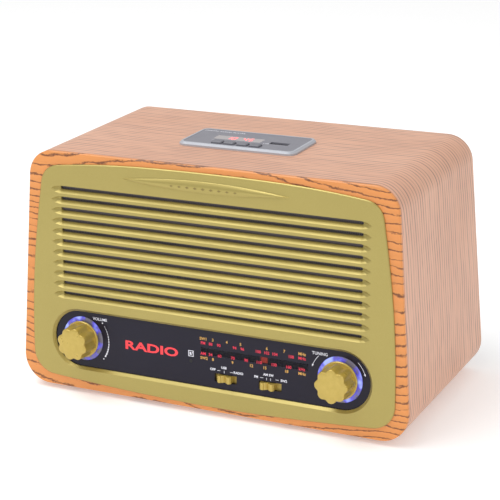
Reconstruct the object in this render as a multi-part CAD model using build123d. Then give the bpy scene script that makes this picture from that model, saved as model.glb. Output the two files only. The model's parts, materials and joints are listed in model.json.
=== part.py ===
"""Retro table radio: a wrapped wooden cabinet with a gold front, a dial-cord tuner and a digital top panel.

Everything is drawn in the cabinet's own frame, in millimetres: X to the right seen from the front, Y into
the cabinet from the front face's lowest line, Z up from the cabinet's underside. to_row_frame() then moves
it so that the origin is under the middle of the whole object, at the level that it stands on.
Parts of the leaning front are drawn on FRONT, whose local axes are right, up along the face, and outward.
"""

from build123d import *
import os
from math import asin, atan2, cos, degrees, hypot, radians, sin, sqrt

# ---- driving dimensions: cabinet ----
FOOT_HEIGHT = 3.0
CABINET_HEIGHT = 149.7
CABINET_DEPTH = 132.4  # along the underside
HALF_WIDTH_BASE = 130.0  # at the underside, before the corners are rounded
HALF_WIDTH_TOP = 119.7
TOP_CORNER = 16.1
BASE_CORNER = 17.5
WALL = 8.0
LEAN = 3.034  # degrees that the front face leans back
MIDDLE_DEPTH = 64.223  # from the front's lowest line back to the middle of the whole object

# ---- front ----
BOARD_FACE = 2.5  # front board: the part that covers the shell's front edge
BOARD_BACK = 9.0
BEZEL_PROUD = 1.3
BEZEL_BACK = 2.2
BEZEL_LAP = 5.0  # how far the bezel covers the front board all round
SLOT_COUNT = 11
SLOT_PITCH = 6.66
SLOT_LOWEST = 59.9  # height of the lowest row
SLOT_HALF_LENGTH = 99.4
SLOT_EDGES = (0.0, 2.4)  # lower and upper edge of the through slot, from the row's height
GROOVE_HALF_LENGTH = 105.0
GROOVE_EDGES = (-2.05, 2.75)  # the same at the bezel's face: a wide lower slope, a steep upper one
GROOVE_DEPTH = 2.2
BOSSES = ((-103.5, 16.2), (103.5, 16.2), (-101, 54.8), (101, 54.8))  # the bezel's screw posts
BADGE_HALF_LENGTH = 55.6
BADGE_HEIGHT = 137.9
BADGE_HALF_HEIGHT = 3.6
WINDOW_LENGTH = 211.0
WINDOW_HEIGHT = 35.8
WINDOW_MIDDLE = 32.8
LENS_FACE = -1.0
LENS_BACK = -3.0
LENS_LIP = 2.0  # the lens is this much larger than the window all round

# ---- controls ----
KNOB_X = 86.1
KNOB_HEIGHT = 32.95
KNOB_FACE = 13.0
KNOB_LOBES = 8
KNOB_TURNED = {-1: -16.0, 1: 1.0}  # degrees that each knob stands turned
KNOB_FLANGE_RADIUS = 11.6
KNOB_FLANGE = (0.4, 1.6)
FLUTE_RADIUS = 6.4
FLUTE_FLOOR = 8.65  # distance of a flute's floor from the knob's axis
SHAFT_RADIUS = 3.0
RUNNING = 0.05  # radial clearance of a turning shaft
RING_RADIUS = 14.0
RING_BORE = 9.5
RING_SEAT_RADIUS = 15.6  # the part of the ring behind the lens
SWITCH_X = (12.4, 41.7)
SLIDER_X = (12.2, 40.3)
SWITCH_HEIGHT = 21.8
SWITCH_WINDOW = (14.7, 5.1)
SWITCH_TRAVEL = 2.8  # either way from the window's middle
SLIDER_SIZE = (8.9, 4.3)
SLIDER_BACKING = (20.9, 6.7)  # the slider's plate, which fills the window from behind
SLIDER_STEM = (4.0, 3.0)
SWITCH_BODY = (17.0, 8.0, 5.5)
POINTER_X = 36.0
POINTER_HEIGHT = 36.2
STRIP_LEFT, STRIP_RIGHT = -4.0, 66.0
STRIP_HALF_HEIGHT = 2.1
BOARD_LEVEL = -20.0  # front of the main board
BOARD_THICKNESS = 1.6
BOARD_SIZE = (214.0, 48.4)
BOARD_MIDDLE = 33.8
CHIPS = (  # x, height, width, tallness and depth of the larger parts on the board's back
    (-20, 40, 14, 8, 2.2), (18, 42, 10, 6, 1.8), (55, 22, 16, 12, 5.0), (-60, 20, 20, 10, 8.0),
    (74, 46, 9, 9, 7.5), (-86, 48, 12, 7, 9.0))
CAPACITOR_ROW = (-32.0, 11.0, 6, 18.0)  # first x, spacing, count and height
CAPACITOR_DEPTH = 11.0
CORD_LEVEL = -9.0
CORD_RADIUS = 0.35
SPINDLE_CORD_RADIUS = 5.0  # to the cord's middle
NEEDLE = (-5.2, -4.4)  # back and front of the pointer's needle
CARRIAGE_BACK = -9.9
CHASSIS_PLATE = (-6.8, -5.6)  # back and front of the plate behind the needle
DRUM = (-35.0, 31.0, 19.5)  # x, height, radius to the cord's middle
UPPER_IDLER = (72.0, 46.1, 4.4)
LOWER_IDLER = (78.0, 15.9, 4.4)
SPEAKER_HEIGHT = 91.07
SPEAKER_RADIUS = 42.0
SPEAKER_FIXINGS = tuple((x, SPEAKER_HEIGHT + rise) for x in (-35.0, 35.0) for rise in (-33.3, 33.3))
SPEAKER_SCREW_RADIUS = 1.0  # each screw goes into the back of one bar of the grille
SPEAKER_EAR_RADIUS = 5.0
CHASSIS_POSTS = ((-58.2, 15), (-58.2, 46), (64, 17), (64, 45))

# ---- inside ----
ROD_Y, ROD_Z, ROD_RADIUS, ROD_LENGTH = 104.0, 126.0, 5.0, 130.0
COILS = ((-38.0, 26.0), (30.0, 14.0))  # x and length
COIL_RADIUS = 6.2
HOLDER_X = (-60.0, 58.0)
CORE_X, CORE_Y = -84.0, 84.0
CORE_HALF_WIDTH, CORE_HALF_DEPTH, CORE_HEIGHT = 21.0, 8.0, 36.0
CORE_LIMB = 7.0  # half of the middle limb, and the width of each outer one
WINDING_HALF_DEPTH = 15.0

# ---- top panel ----
PANEL_X, PANEL_Y = -0.9, 66.5
PANEL_SIZE = (78.0, 37.5)
PANEL_HEIGHT = 2.3
PANEL_CUTOUT = (71.0, 33.0)  # the hole in the cabinet's top
SKIRT_SIZE = (70.6, 32.6)
WELL_SIZE = (68.0, 30.0)
LABEL_SIZE = (73.4, 33.0)
LABEL_THICKNESS = 1.2
KEY_X = (-15.4, -7.3, 1.6, 9.9)
KEY_Y = 55.0
KEY_SIZE = (6.8, 5.4)
KEY_PROUD = 1.2
DISPLAY_X, DISPLAY_Y = -6.9, 67.0
DISPLAY_SIZE = (31.7, 8.0)
USB_X, USB_Y = 21.2, 65.0
USB_SLOT = (12.4, 4.8)
MODULE_BOARD_Z = 137.0

# ---- rear ----
REAR_FACE = 130.4  # outer face of the rear panel
REAR_THICKNESS = 2.5
SCREW_CORNERS = ((-108, 18), (108, 18), (-103, 132), (103, 132))
BAY_SIZE = (108.0, 64.0)
BAY_Z = 46.0
BAY_DEPTH = 36.0
INLET_X, INLET_Z = 88.0, 34.0
JACK_X, JACK_Z = -84.0, 40.0
AERIAL_X, AERIAL_Y, AERIAL_Z = 98.0, 137.2, 118.0
AERIAL_RADII = (3.0, 2.5, 2.0)
AERIAL_LENGTH = 168.0
AERIAL_RESTS_X = (-62.0, 20.0)
AERIAL_TILT_PIN = 1.2
VENT_X, VENT_LOWEST, VENT_PITCH, VENT_ROWS = 34.0, 87.0, 5.0, 4
VENT_SIZE = (44.0, 2.4)
INLET_BODY, INLET_FLANGE, INLET_MOUTH = (22.0, 14.0), (27.0, 19.0), (15.8, 9.2)
INLET_PIN_X, INLET_PIN_RADIUS = 4.3, 1.2
JACK_RADIUS, JACK_BORE = 3.0, 1.8
CELL_COLUMNS = (-36.0, 0.0, 36.0)
CELL_WALLS = (-18.0, 18.0)

FRONT = Location(Plane(origin=(0, 0, 0), x_dir=(1, 0, 0), z_dir=(0, -cos(radians(LEAN)), sin(radians(LEAN)))))
nodes = {}


# ---- drawing helpers ----
def on_front(sketch, low, high):
    """Solid from a sketch on the front face, between two heights outward from that face."""
    return extrude(FRONT * Pos(0, 0, low) * sketch, amount=high - low)


def upright(sketch, near, far):
    """Solid from a sketch seen from the front, between two depths."""
    return extrude(Location(Plane.XZ) * Pos(0, 0, -far) * sketch, amount=far - near)


def level(sketch, low, high):
    """Solid from a sketch seen from above, between two heights."""
    return extrude(Pos(0, 0, low) * sketch, amount=high - low)


def turned(points):
    """Solid of revolution about local Z from (radius, height) points."""
    return revolve(Location(Plane.XZ) * make_face(Polyline(*points, close=True)), Axis.Z)


def span(x_range, y_range, z_range):
    """Box between two corners."""
    size = [high - low for low, high in (x_range, y_range, z_range)]
    middle = [(low + high) / 2 for low, high in (x_range, y_range, z_range)]
    return Pos(*middle) * Box(*size)


def ring(outer, inner):
    return Circle(outer) - Circle(inner)


def at_knob(side):
    """Local frame of the left (-1) or right (+1) control, on the front face."""
    return FRONT * Pos(side * KNOB_X, KNOB_HEIGHT, 0)


def cabinet_section(inset=0.0):
    """The cabinet's rounded trapezoid, moved in by inset."""
    slope = (HALF_WIDTH_BASE - HALF_WIDTH_TOP) / CABINET_HEIGHT
    side = inset * sqrt(1 + slope**2)
    low, high = inset, CABINET_HEIGHT - inset
    base = HALF_WIDTH_BASE - slope * low - side
    top = HALF_WIDTH_BASE - slope * high - side
    section = make_face(Polyline((-base, low), (base, low), (top, high), (-top, high), close=True))
    section = fillet(section.vertices().group_by(Axis.Y)[-1], max(TOP_CORNER - inset, 2.0))
    return fillet(section.vertices().group_by(Axis.Y)[0], max(BASE_CORNER - inset, 2.0))


def front_slab(low, high):
    """Everything between two heights over the leaning front face."""
    return on_front(Pos(0, CABINET_HEIGHT / 2) * Rectangle(400, 400), low, high)


def bezel_section(inset=0.0):
    """Bowed outline of the gold bezel, drawn in by inset: shallow curves joined by round corners."""
    middle, half_width, half_height = 74.7, 120.8, 71.7

    def place(x, height):
        return (x * (1 - inset / half_width), middle + (height - middle) * (1 - inset / half_height))

    top_end, side_top, side_end, base_end = (
        place(101.0, 141.6), place(112.0, 130.2), place(120.8, 22.0), place(107.0, 7.2))
    corner_top = TangentArc(top_end, side_top, tangent=(1, -0.13))
    side = Spline(side_top, place(115.4, 107.0), place(118.5, 80.0), place(120.2, 55.0), side_end)
    corner_base = TangentArc(side_end, base_end, tangent=(0, -1))
    half = [corner_top, side, corner_base]
    other = [edge.mirror(Plane.YZ) for edge in half]
    top = Spline(place(-101.0, 141.6), place(-60.0, 145.2), place(0.0, 146.4), place(60.0, 145.2), top_end)
    base = Spline(base_end, place(67.0, 4.8), place(0.0, 3.0), place(-67.0, 4.8), place(-107.0, 7.2))
    return make_face(Wire([top, *half, base, *other]))


def window(grow=0.0):
    return Pos(0, WINDOW_MIDDLE) * SlotOverall(WINDOW_LENGTH + 2 * grow, WINDOW_HEIGHT + 2 * grow)


# ---- cabinet ----
def cabinet():
    shell = upright(cabinet_section(), -10, CABINET_DEPTH)
    shell = fillet(shell.edges().group_by(Axis.Y)[-1], 0.8)
    shell -= upright(cabinet_section(WALL), -20, CABINET_DEPTH + 10)
    shell -= front_slab(-BOARD_FACE, 60)
    cutout = Pos(PANEL_X, PANEL_Y) * RectangleRounded(*PANEL_CUTOUT, 2.0)
    shell -= level(cutout, CABINET_HEIGHT - 20, CABINET_HEIGHT + 5)
    nodes["cabinet_shell"] = shell

    block = upright(cabinet_section(), -10, 60) & front_slab(-BOARD_FACE, 0)
    front_edges = block.faces().sort_by(Axis.Y)[0].edges()
    block = chamfer(front_edges, 0.5)
    block += upright(cabinet_section(WALL), -10, 60) & front_slab(-BOARD_BACK, -BOARD_FACE)
    nodes["front_board"] = block - on_front(bezel_section(BEZEL_LAP), -60, 10)

    corners = []
    inner = upright(cabinet_section(WALL), 110, REAR_FACE - REAR_THICKNESS)
    for x, z in SCREW_CORNERS:
        corner = inner & upright(Pos(x * 1.06, z + (8 if z > 75 else -8)) * Rectangle(28, 26), 110, 140)
        corners.append(corner - rear_screw_holes(1.4))
    nodes["corner_blocks"] = Part() + corners

    feet = [
        Pos(x, y, 0) * turned([(0, -FOOT_HEIGHT), (7.5, -FOOT_HEIGHT), (8.0, -FOOT_HEIGHT + 0.6), (8.0, 0), (0, 0)])
        for x in (-96, 96) for y in (24, 110)
    ]
    nodes["rubber_feet"] = Part() + feet


def rear_screw_holes(radius):
    return upright(Sketch() + [Pos(x, z) * Circle(radius) for x, z in SCREW_CORNERS], 112, 140)


# ---- front ----
def grille_groove(height):
    """A boat-shaped groove with a straight slot at its bottom, to be cut from the bezel."""
    def boat(tip, edges):
        middle, half = (edges[0] + edges[1]) / 2, (edges[1] - edges[0]) / 2
        shoulder = SLOT_HALF_LENGTH - 1.0
        quarter = [(shoulder, half), (shoulder + 0.6 * (tip - shoulder), 0.7 * half), (tip, 0.0)]
        side = quarter + [(x, -y) for x, y in reversed(quarter[:-1])]
        points = side + [(-x, -y) for x, y in side]
        return Pos(0, middle) * make_face(Polyline(*points, close=True))

    mouth, floor = boat(GROOVE_HALF_LENGTH, GROOVE_EDGES), boat(SLOT_HALF_LENGTH, SLOT_EDGES)
    slot = boat(SLOT_HALF_LENGTH - 0.2, (SLOT_EDGES[0] + 0.05, SLOT_EDGES[1] - 0.05))
    place, bottom = FRONT * Pos(0, height, 0), BEZEL_PROUD - GROOVE_DEPTH
    groove = loft([Pos(0, 0, bottom) * floor, Pos(0, 0, BEZEL_PROUD + 0.01) * mouth], ruled=True)
    through = extrude(Pos(0, 0, -BEZEL_BACK - 1) * slot, amount=bottom + 0.3 + BEZEL_BACK + 1)
    return place * (groove + through)


def bezel():
    edge = 0.5
    plate = on_front(bezel_section(), 0, BEZEL_PROUD - edge)
    plate += loft([
        FRONT * Pos(0, 0, BEZEL_PROUD - edge) * bezel_section(0.0),
        FRONT * Pos(0, 0, BEZEL_PROUD) * bezel_section(edge),
    ], ruled=True)
    plate += on_front(bezel_section(BEZEL_LAP + 0.3), -BEZEL_BACK, 0)
    plate -= on_front(window(), -20, 20)
    plate -= on_front(window(LENS_LIP), -20, LENS_FACE)
    bevel_width, bevel_depth = 1.6, 1.5
    rim_cut = loft([
        FRONT * Pos(0, 0, BEZEL_PROUD - bevel_depth) * window(0.0),
        FRONT * Pos(0, 0, BEZEL_PROUD + 0.01) * window(bevel_width),
    ], ruled=True)
    plate -= rim_cut
    for row in range(SLOT_COUNT):
        plate -= grille_groove(SLOT_LOWEST + row * SLOT_PITCH)
    plate += badge()
    for x, height in BOSSES:
        boss = Pos(x, height) * ring(3.2, 1.4)
        plate += on_front(boss, BOARD_LEVEL, -BEZEL_BACK)
    for x, height in SPEAKER_FIXINGS:
        plate -= on_front(Pos(x, height) * Circle(SPEAKER_SCREW_RADIUS), -4.0, -BEZEL_BACK + 0.8)
    nodes["front_bezel"] = plate


def badge():
    """Raised spindle-shaped field above the grille, crowned along its middle."""
    def spindle(factor, out):
        half, rise = BADGE_HALF_LENGTH * factor, BADGE_HALF_HEIGHT * factor**4
        upper = ThreePointArc((-half, 0), (0, rise), (half, 0))
        lower = ThreePointArc((half, 0), (0, -rise), (-half, 0))
        return FRONT * Pos(0, BADGE_HEIGHT, out) * make_face(Wire([upper, lower]))

    return loft([spindle(1.0, BEZEL_PROUD - 0.1), spindle(0.9, BEZEL_PROUD + 1.1)], ruled=True)


def grille_cloth():
    sheet = Pos(0, 95.2) * RectangleRounded(203, 73.6, 6)
    for x, height in SPEAKER_FIXINGS:
        sheet -= Pos(x, height) * Circle(SPEAKER_SCREW_RADIUS + 0.3)
    nodes["speaker_mesh"] = on_front(sheet, -3.0, -BEZEL_BACK)


def dial():
    """Dial lens with its clear strip, and the chassis plate behind the pointer."""
    strip_length = STRIP_RIGHT - STRIP_LEFT
    strip = Pos((STRIP_LEFT + STRIP_RIGHT) / 2, POINTER_HEIGHT + 1.0) * Rectangle(strip_length, 2 * STRIP_HALF_HEIGHT)
    lens = window(LENS_LIP - 0.2) - strip
    for side in (-1, 1):
        lens -= Pos(side * KNOB_X, KNOB_HEIGHT) * Circle(RING_RADIUS + 0.2)
    for x in SWITCH_X:
        lens -= Pos(x, SWITCH_HEIGHT) * Rectangle(*SWITCH_WINDOW)
    nodes["dial_lens"] = on_front(lens, LENS_BACK, LENS_FACE)
    nodes["pointer_window"] = on_front(strip, LENS_BACK + 0.4, LENS_FACE)

    back, front = CHASSIS_PLATE
    plate = Pos(3, 30.5) * Rectangle(126, 35)
    for x in SWITCH_X:
        plate -= Pos(x, SWITCH_HEIGHT) * Rectangle(SWITCH_WINDOW[0] + 1, SWITCH_WINDOW[1] + 1)
    chassis = on_front(plate, back, front)
    for x, height in CHASSIS_POSTS:
        chassis += on_front(Pos(x, height) * Circle(1.6), BOARD_LEVEL, back)
    nodes["dial_chassis"] = chassis


def light_rings():
    boards = []
    for name, side in (("volume", -1), ("tuning", 1)):
        guide = turned([
            (RING_BORE, -5.0), (RING_SEAT_RADIUS, -5.0), (RING_SEAT_RADIUS, -3.05), (RING_RADIUS, -3.05),
            (RING_RADIUS, -0.9), (RING_RADIUS - 0.5, -0.6), (RING_BORE, -0.6)])
        nodes[f"{name}_light_ring"] = at_knob(side) * guide
        board = extrude(Pos(0, 0, -6.4) * ring(RING_SEAT_RADIUS, 5.0), amount=1.2)
        for step in range(8):
            board += Rot(0, 0, 45 * step) * Pos(8.0, 0, -4.6) * Box(1.6, 2.0, 1.2)
        boards.append(at_knob(side) * board)
    nodes["ring_light_boards"] = Part() + boards


# ---- knobs and the tuner drive ----
def knob(side):
    """Fluted knob on a thin flange, with a blind bore for its shaft."""
    low, high = KNOB_FLANGE
    body = turned([(0, low), (11.0, low), (10.9, 2.4), (10.3, KNOB_FACE - 0.6), (9.8, KNOB_FACE), (0, KNOB_FACE)])
    for lobe in range(KNOB_LOBES):
        angle = KNOB_TURNED[side] + 360 / KNOB_LOBES * (lobe + 0.5)
        flute = Pos(FLUTE_FLOOR + FLUTE_RADIUS, 0, high + 10.1) * Cylinder(FLUTE_RADIUS, 20)
        body -= Rot(0, 0, angle) * flute
    body += turned([
        (0, low), (KNOB_FLANGE_RADIUS, low), (KNOB_FLANGE_RADIUS, high - 0.4), (KNOB_FLANGE_RADIUS - 0.4, high),
        (0, high)])
    return body - Pos(0, 0, 3.5) * Cylinder(SHAFT_RADIUS, 11.0)


def controls():
    nodes["volume_knob"] = at_knob(-1) * knob(-1)
    nodes["tuning_knob"] = at_knob(1) * knob(1)
    nodes["volume_shaft"] = at_knob(-1) * turned([(0, -15.5), (SHAFT_RADIUS, -15.5), (SHAFT_RADIUS, 9.0), (0, 9.0)])
    pot = Pos(0, 0, -16) * Box(16, 17, 8) + Pos(0, 0, -10) * Cylinder(4.5, 4)
    pot -= Pos(0, 0, -12) * Cylinder(SHAFT_RADIUS + RUNNING, 8)
    nodes["volume_pot"] = at_knob(-1) * pot

    groove = SPINDLE_CORD_RADIUS - CORD_RADIUS - 0.05
    spindle = turned([
        (0, -21.0), (SHAFT_RADIUS, -21.0), (SHAFT_RADIUS, -10.6), (6.2, -10.6), (6.2, -9.7), (groove, -9.5),
        (groove, -8.5), (6.2, -8.3), (6.2, -7.4), (SHAFT_RADIUS, -7.4), (SHAFT_RADIUS, 9.0), (0, 9.0)])
    nodes["tuning_spindle"] = at_knob(1) * spindle

    x, height, radius = DRUM
    floor = radius - CORD_RADIUS - 0.05
    drum = turned([
        (0, -15.0), (SHAFT_RADIUS, -15.0), (SHAFT_RADIUS, -11.2), (5.0, -11.2), (5.0, -9.8), (floor - 3, -9.8),
        (floor - 3, -10.2), (floor + 1.2, -10.2), (floor + 1.2, -9.8), (floor, -9.6), (floor, -8.4),
        (floor + 1.2, -8.2), (floor + 1.2, -7.8), (floor - 3, -7.8), (floor - 3, -8.4), (5.0, -8.4), (5.0, -7.6),
        (0, -7.6)])
    for step in range(3):
        drum -= Rot(0, 0, 120 * step + 30) * Pos(10.5, 0, -9) * Cylinder(3.6, 8)
    nodes["dial_drum"] = FRONT * Pos(x, height, 0) * drum
    capacitor = Pos(0, 0, -16) * Box(20, 20, 8) - Pos(0, 0, -13) * Cylinder(SHAFT_RADIUS + RUNNING, 5)
    nodes["tuning_capacitor"] = FRONT * Pos(x, height, 0) * capacitor

    for name, (x, height, radius) in (("upper_idler", UPPER_IDLER), ("lower_idler", LOWER_IDLER)):
        floor = radius - CORD_RADIUS - 0.05
        wheel = turned([
            (1.25, -10.2), (floor + 1.1, -10.2), (floor + 1.1, -9.8), (floor, -9.6), (floor, -8.4),
            (floor + 1.1, -8.2), (floor + 1.1, -7.8), (1.25, -7.8)])
        nodes[name] = FRONT * Pos(x, height, 0) * wheel
    nodes["dial_cord"] = on_front(belt(CORD_RADIUS) - belt(-CORD_RADIUS), CORD_LEVEL - 0.35, CORD_LEVEL + 0.35)

    needle = on_front(Pos(POINTER_X, 42.2) * Rectangle(4.0, 16.0), *NEEDLE)
    carriage = on_front(Pos(POINTER_X, 50.4) * Rectangle(6.0, 3.4), CARRIAGE_BACK, NEEDLE[1])
    carriage -= on_front(Pos(POINTER_X, DRUM[1] + DRUM[2]) * Rectangle(8.0, 1.1), CORD_LEVEL - 0.55, CORD_LEVEL + 0.55)
    nodes["dial_pointer"] = needle + carriage


def belt(grow):
    """Face inside the dial cord's loop, drawn in or out by grow: tangents and arcs round four wheels."""
    wheels = [DRUM, UPPER_IDLER, (KNOB_X, KNOB_HEIGHT, SPINDLE_CORD_RADIUS), LOWER_IDLER]
    tangents = []
    for (x1, y1, r1), (x2, y2, r2) in zip(wheels, wheels[1:] + wheels[:1]):
        heading = atan2(y2 - y1, x2 - x1) - asin((r1 - r2) / hypot(x2 - x1, y2 - y1))
        normal = (-sin(heading), cos(heading))
        start = (x1 + (r1 + grow) * normal[0], y1 + (r1 + grow) * normal[1])
        end = (x2 + (r2 + grow) * normal[0], y2 + (r2 + grow) * normal[1])
        tangents.append((start, end, degrees(atan2(normal[1], normal[0]))))
    edges = []
    for index, (x, y, r) in enumerate(wheels):
        arrive, leave = tangents[index - 1], tangents[index]
        wrap = (arrive[2] - leave[2]) % 360
        middle = radians(arrive[2] - wrap / 2)
        crown = (x + (r + grow) * cos(middle), y + (r + grow) * sin(middle))
        edges += [ThreePointArc(arrive[1], crown, leave[0]), Line(leave[0], leave[1])]
    return make_face(Wire(edges))


def switches():
    bodies = []
    for name, window_x, slider_x in zip(("function", "band"), SWITCH_X, SLIDER_X):
        stem_width, stem_tall = SLIDER_STEM
        body = Pos(0, 0, -17.25) * Box(*SWITCH_BODY)
        body -= Pos(0, 0, -15.25) * Box(stem_width + 2 * SWITCH_TRAVEL + 0.4, stem_tall + 0.4, 3)
        bodies.append(FRONT * Pos(window_x, SWITCH_HEIGHT, 0) * body)
        width, tall = SLIDER_SIZE
        cap = Pos(0, 0, -1.4) * Box(width, tall, 4.4) + Pos(0, 0, -9.2) * Box(stem_width, stem_tall, 14.6)
        cap -= Pos(0, 0, 1.0) * Rot(0, 45, 0) * Box(2.2, tall + 2, 2.2)
        for side in (-1, 1):
            cap += Pos(side * 3.0, 0, 0.6) * Rot(90, 0, 0) * Cylinder(1.1, tall)
        cap += Pos(0, 0, -3.9) * Box(*SLIDER_BACKING, 1.0)
        nodes[f"{name}_slider"] = FRONT * Pos(slider_x, SWITCH_HEIGHT, 0) * cap
    nodes["slide_switches"] = Part() + bodies


def main_board():
    board = Pos(0, BOARD_MIDDLE) * Rectangle(*BOARD_SIZE)
    board -= Pos(KNOB_X, KNOB_HEIGHT) * Circle(SHAFT_RADIUS + RUNNING)
    for x, height in BOSSES:
        board -= Pos(x, height) * Circle(1.5)
    nodes["main_board"] = on_front(board, BOARD_LEVEL - BOARD_THICKNESS, BOARD_LEVEL)
    back = BOARD_LEVEL - BOARD_THICKNESS
    parts = []
    for x, height, width, tall, deep in CHIPS:
        parts.append(on_front(Pos(x, height) * Rectangle(width, tall), back - deep, back))
    first, spacing, count, height = CAPACITOR_ROW
    for step in range(count):
        can = Pos(first + spacing * step, height) * Circle(3.2 if step % 2 else 4.0)
        parts.append(on_front(can, back - CAPACITOR_DEPTH, back))
    bush = extrude(Pos(0, 0, BOARD_LEVEL) * ring(5.5, SHAFT_RADIUS + RUNNING), amount=6)
    parts.append(at_knob(1) * bush)
    for x, height, _ in (UPPER_IDLER, LOWER_IDLER):
        axle = turned([(0, BOARD_LEVEL), (2.2, BOARD_LEVEL), (2.2, -10.4), (1.2, -10.4), (1.2, -7.2), (0, -7.2)])
        parts.append(FRONT * Pos(x, height, 0) * axle)
    nodes["board_parts"] = Part() + parts


# ---- speaker ----
def speaker():
    place = FRONT * Pos(0, SPEAKER_HEIGHT, 0)
    basket = turned([
        (36.5, -3.0), (SPEAKER_RADIUS, -3.0), (SPEAKER_RADIUS, -4.2), (36.8, -4.2), (19.0, -23.0), (19.0, -25.0),
        (6.5, -25.0), (6.5, -23.8), (17.6, -23.8), (17.6, -22.5), (35.4, -3.8)])
    for step in range(4):
        gap = Rot(0, 0, 90 * step + 45) * Pos(27.0, 0, -13.0) * Box(13, 18, 14)
        basket -= gap
    ears = Part() + [
        extrude(Pos(x, height - SPEAKER_HEIGHT, -4.2) * Circle(SPEAKER_EAR_RADIUS), amount=1.2)
        for x, height in SPEAKER_FIXINGS
    ]
    basket += ears - Pos(0, 0, -3.6) * Cylinder(38, 4)
    for x, height in SPEAKER_FIXINGS:
        basket -= Pos(x, height - SPEAKER_HEIGHT, -4) * Cylinder(SPEAKER_SCREW_RADIUS + 0.3, 4)
    nodes["speaker_basket"] = place * basket
    cone = turned([
        (35.4, -3.1), (34.9, -3.1), (33.6, -3.9), (31.4, -3.1), (13.0, -19.0), (13.0, -21.6), (12.6, -21.6),
        (12.6, -19.6), (31.2, -4.0), (33.4, -4.8), (34.9, -3.7), (35.3, -3.6)])
    cap = turned([
        (0, -14.6), (6.0, -15.3), (10.0, -17.0), (14.4, -18.2), (13.8, -18.9), (9.8, -17.8), (6.0, -16.1), (0, -15.4)])
    nodes["speaker_cone"] = place * (cone + cap)
    magnet = turned([
        (0, -40.0), (22.5, -40.0), (22.5, -25.05), (7.4, -25.05), (7.4, -37.0), (6.2, -37.0), (6.2, -22.6),
        (0, -22.6)])
    nodes["speaker_magnet"] = place * magnet


# ---- inside ----
def inner_parts():
    lying = Rot(0, 90, 0)
    nodes["ferrite_rod"] = Pos(0, ROD_Y, ROD_Z) * lying * Cylinder(ROD_RADIUS, ROD_LENGTH)
    nodes["ferrite_coils"] = Part() + [
        Pos(x, ROD_Y, ROD_Z) * lying * (Cylinder(COIL_RADIUS, length) - Cylinder(ROD_RADIUS, length))
        for x, length in COILS
    ]
    brackets = []
    for x in HOLDER_X:
        strap = span((x - 3, x + 3), (ROD_Y - 8, ROD_Y + 8), (ROD_Z - 8, CABINET_HEIGHT - WALL))
        brackets.append(strap - Pos(x, ROD_Y, ROD_Z) * lying * Cylinder(ROD_RADIUS, 10))
    nodes["ferrite_holders"] = Part() + brackets

    def around_core(half_width, half_depth, low, high):
        widths = (CORE_X - half_width, CORE_X + half_width)
        return span(widths, (CORE_Y - half_depth, CORE_Y + half_depth), (low, high))

    low, high = WALL + CORE_LIMB, WALL + CORE_HEIGHT - CORE_LIMB
    core = around_core(CORE_HALF_WIDTH, CORE_HALF_DEPTH, WALL, WALL + CORE_HEIGHT)
    limb = around_core(CORE_LIMB, CORE_HALF_DEPTH, low, high)
    nodes["transformer_core"] = core - around_core(2 * CORE_LIMB, CORE_HALF_DEPTH + 1, low, high) + limb
    nodes["transformer_winding"] = around_core(2 * CORE_LIMB, WINDING_HALF_DEPTH, low, high) - limb


# ---- top panel ----
def key_window(x, grow):
    return Pos(x, KEY_Y) * RectangleRounded(KEY_SIZE[0] + 2 * grow, KEY_SIZE[1] + 2 * grow, 0.8 + grow)


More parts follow.
